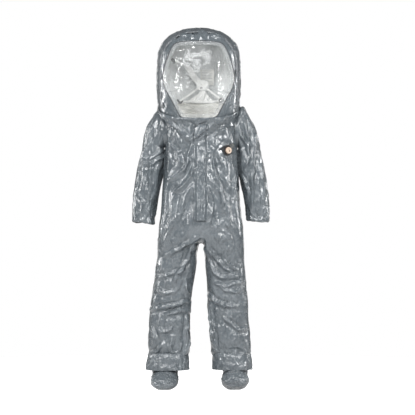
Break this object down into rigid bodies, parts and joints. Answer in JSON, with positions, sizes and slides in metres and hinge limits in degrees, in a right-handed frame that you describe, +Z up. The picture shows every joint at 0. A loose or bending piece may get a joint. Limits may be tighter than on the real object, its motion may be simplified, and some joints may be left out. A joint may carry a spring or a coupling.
{
  "type": "chemical protective suit",
  "caption": "Fully enclosing chemical protective suit with a wide clear visor, expanded back, socked boots with splash flaps, a zipper under a storm flap and an air line port.",
  "frame": {"origin": "point between the shoulders where a hanger or wearer holds the suit, 1.440 m above the soles", "axes": "+Z up along the body, -Y out of the chest and visor, +X to the wearer's left"},
  "size_m": [0.728, 0.436, 1.899],
  "materials": {
    "suit_grey": "glossy coated laminate fabric",
    "seam_tape": "heat-sealed seam tape",
    "clear_visor": "clear flexible plastic sheet",
    "white_liner": "white webbing, cloth and label",
    "black_rubber": "black rubber and black hook-and-loop tape",
    "black_plastic": "moulded black plastic",
    "tan_plastic": "moulded tan plastic",
    "zip_metal": "dull nickel-plated brass"
  },
  "bodies": {
    "torso": {"torso_shell": "suit_grey", "neck_gusset": "suit_grey", "crotch_gusset": "suit_grey", "armhole_collar_left": "seam_tape", "armhole_collar_right": "seam_tape", "zipper_tape_left": "seam_tape", "zipper_tape_right": "seam_tape", "zipper_chain": "zip_metal", "zipper_top_stop": "zip_metal", "zipper_bottom_stop": "zip_metal", "loop_strip": "black_rubber", "port_flange": "black_plastic", "port_barrel": "zip_metal", "port_nut": "black_plastic", "port_tether": "black_rubber", "tether_anchor": "black_plastic", "tether_eyelet": "zip_metal", "valve_housing_left": "black_plastic", "valve_nut_left": "black_plastic", "valve_cover_left": "black_plastic", "valve_housing_right": "black_plastic", "valve_nut_right": "black_plastic", "valve_cover_right": "black_plastic"},
    "hood": {"hood_shell": "suit_grey", "visor_lens": "clear_visor", "visor_frame": "clear_visor", "neck_liner": "white_liner", "size_label": "white_liner", "head_pad": "white_liner", "head_strap_left": "white_liner", "head_strap_right": "white_liner", "head_clip_left": "black_plastic", "head_clip_right": "black_plastic"},
    "storm_flap": {"storm_flap": "suit_grey", "hook_strip": "black_rubber"},
    "zipper_slider": {"zipper_slider": "zip_metal", "zipper_pull": "zip_metal"},
    "port_cap": {"port_cap": "tan_plastic"},
    "valve_disc_left": {"valve_disc_left": "black_rubber"},
    "upper_sleeve_left": {"upper_sleeve_left": "suit_grey", "elbow_gusset_left": "suit_grey"},
    "forearm_left": {"forearm_sleeve_left": "suit_grey", "cuff_band_left": "seam_tape"},
    "thigh_left": {"thigh_left": "suit_grey", "knee_gusset_left": "suit_grey"},
    "shin_left": {"shin_left": "suit_grey", "boot_flap_left": "suit_grey", "ankle_gusset_left": "suit_grey"},
    "bootie_left": {"bootie_left": "suit_grey"},
    "valve_disc_right": {"valve_disc_right": "black_rubber"},
    "upper_sleeve_right": {"upper_sleeve_right": "suit_grey", "elbow_gusset_right": "suit_grey"},
    "forearm_right": {"forearm_sleeve_right": "suit_grey", "cuff_band_right": "seam_tape"},
    "thigh_right": {"thigh_right": "suit_grey", "knee_gusset_right": "suit_grey"},
    "shin_right": {"shin_right": "suit_grey", "boot_flap_right": "suit_grey", "ankle_gusset_right": "suit_grey"},
    "bootie_right": {"bootie_right": "suit_grey"}
  },
  "joints": [
    {"name": "hood_tilt", "type": "hinge", "parent": "torso", "child": "hood", "pos_m": [0, 0, 0.045], "axis": [1, 0, 0], "range_deg": [-8, 8], "deforming": ["neck_gusset"]},
    {"name": "storm_flap_hinge", "type": "hinge", "parent": "torso", "child": "storm_flap", "pos_m": [0.036, -0.1759, -0.3178], "axis": [0, 0.03, 0.9996], "range_deg": [0, 150]},
    {"name": "zipper_slide", "type": "slide", "parent": "torso", "child": "zipper_slider", "axis": [0, -0.03, -0.9996], "range_m": [0, 0.438]},
    {"name": "port_cap_pull", "type": "slide", "parent": "torso", "child": "port_cap", "axis": [0.5466, -0.8374, 0], "range_m": [0, 0.012]},
    {"name": "exhaust_valve_left", "type": "slide", "parent": "torso", "child": "valve_disc_left", "axis": [0.2596, 0.9657, 0], "range_m": [0, 0.003], "stiffness_N_per_m": 40},
    {"name": "shoulder_left", "type": "hinge", "parent": "torso", "child": "upper_sleeve_left", "pos_m": [0.193, 0, -0.082], "axis": [-1, 0, 0], "range_deg": [-30, 90]},
    {"name": "elbow_left", "type": "hinge", "parent": "upper_sleeve_left", "child": "forearm_left", "pos_m": [0.281, 0, -0.345], "axis": [-1, 0, 0], "range_deg": [0, 80], "deforming": ["elbow_gusset_left"]},
    {"name": "hip_left", "type": "hinge", "parent": "torso", "child": "thigh_left", "pos_m": [0.124, 0, -0.64], "axis": [-1, 0, 0], "range_deg": [-20, 45], "deforming": ["crotch_gusset"]},
    {"name": "knee_left", "type": "hinge", "parent": "thigh_left", "child": "shin_left", "pos_m": [0.147, 0, -0.96], "axis": [1, 0, 0], "range_deg": [0, 70], "deforming": ["knee_gusset_left"]},
    {"name": "ankle_left", "type": "hinge", "parent": "shin_left", "child": "bootie_left", "pos_m": [0.178, 0.01, -1.315], "axis": [1, 0, 0], "range_deg": [-5, 25], "deforming": ["ankle_gusset_left"]},
    {"name": "exhaust_valve_right", "type": "slide", "parent": "torso", "child": "valve_disc_right", "axis": [-0.2596, 0.9657, 0], "range_m": [0, 0.003], "stiffness_N_per_m": 40},
    {"name": "shoulder_right", "type": "hinge", "parent": "torso", "child": "upper_sleeve_right", "pos_m": [-0.193, 0, -0.082], "axis": [-1, 0, 0], "range_deg": [-30, 90]},
    {"name": "elbow_right", "type": "hinge", "parent": "upper_sleeve_right", "child": "forearm_right", "pos_m": [-0.281, 0, -0.345], "axis": [-1, 0, 0], "range_deg": [0, 80], "deforming": ["elbow_gusset_right"]},
    {"name": "hip_right", "type": "hinge", "parent": "torso", "child": "thigh_right", "pos_m": [-0.124, 0, -0.64], "axis": [-1, 0, 0], "range_deg": [-20, 45], "deforming": ["crotch_gusset"]},
    {"name": "knee_right", "type": "hinge", "parent": "thigh_right", "child": "shin_right", "pos_m": [-0.147, 0, -0.96], "axis": [1, 0, 0], "range_deg": [0, 70], "deforming": ["knee_gusset_right"]},
    {"name": "ankle_right", "type": "hinge", "parent": "shin_right", "child": "bootie_right", "pos_m": [-0.178, 0.01, -1.315], "axis": [1, 0, 0], "range_deg": [-5, 25], "deforming": ["ankle_gusset_right"]}
  ]
}
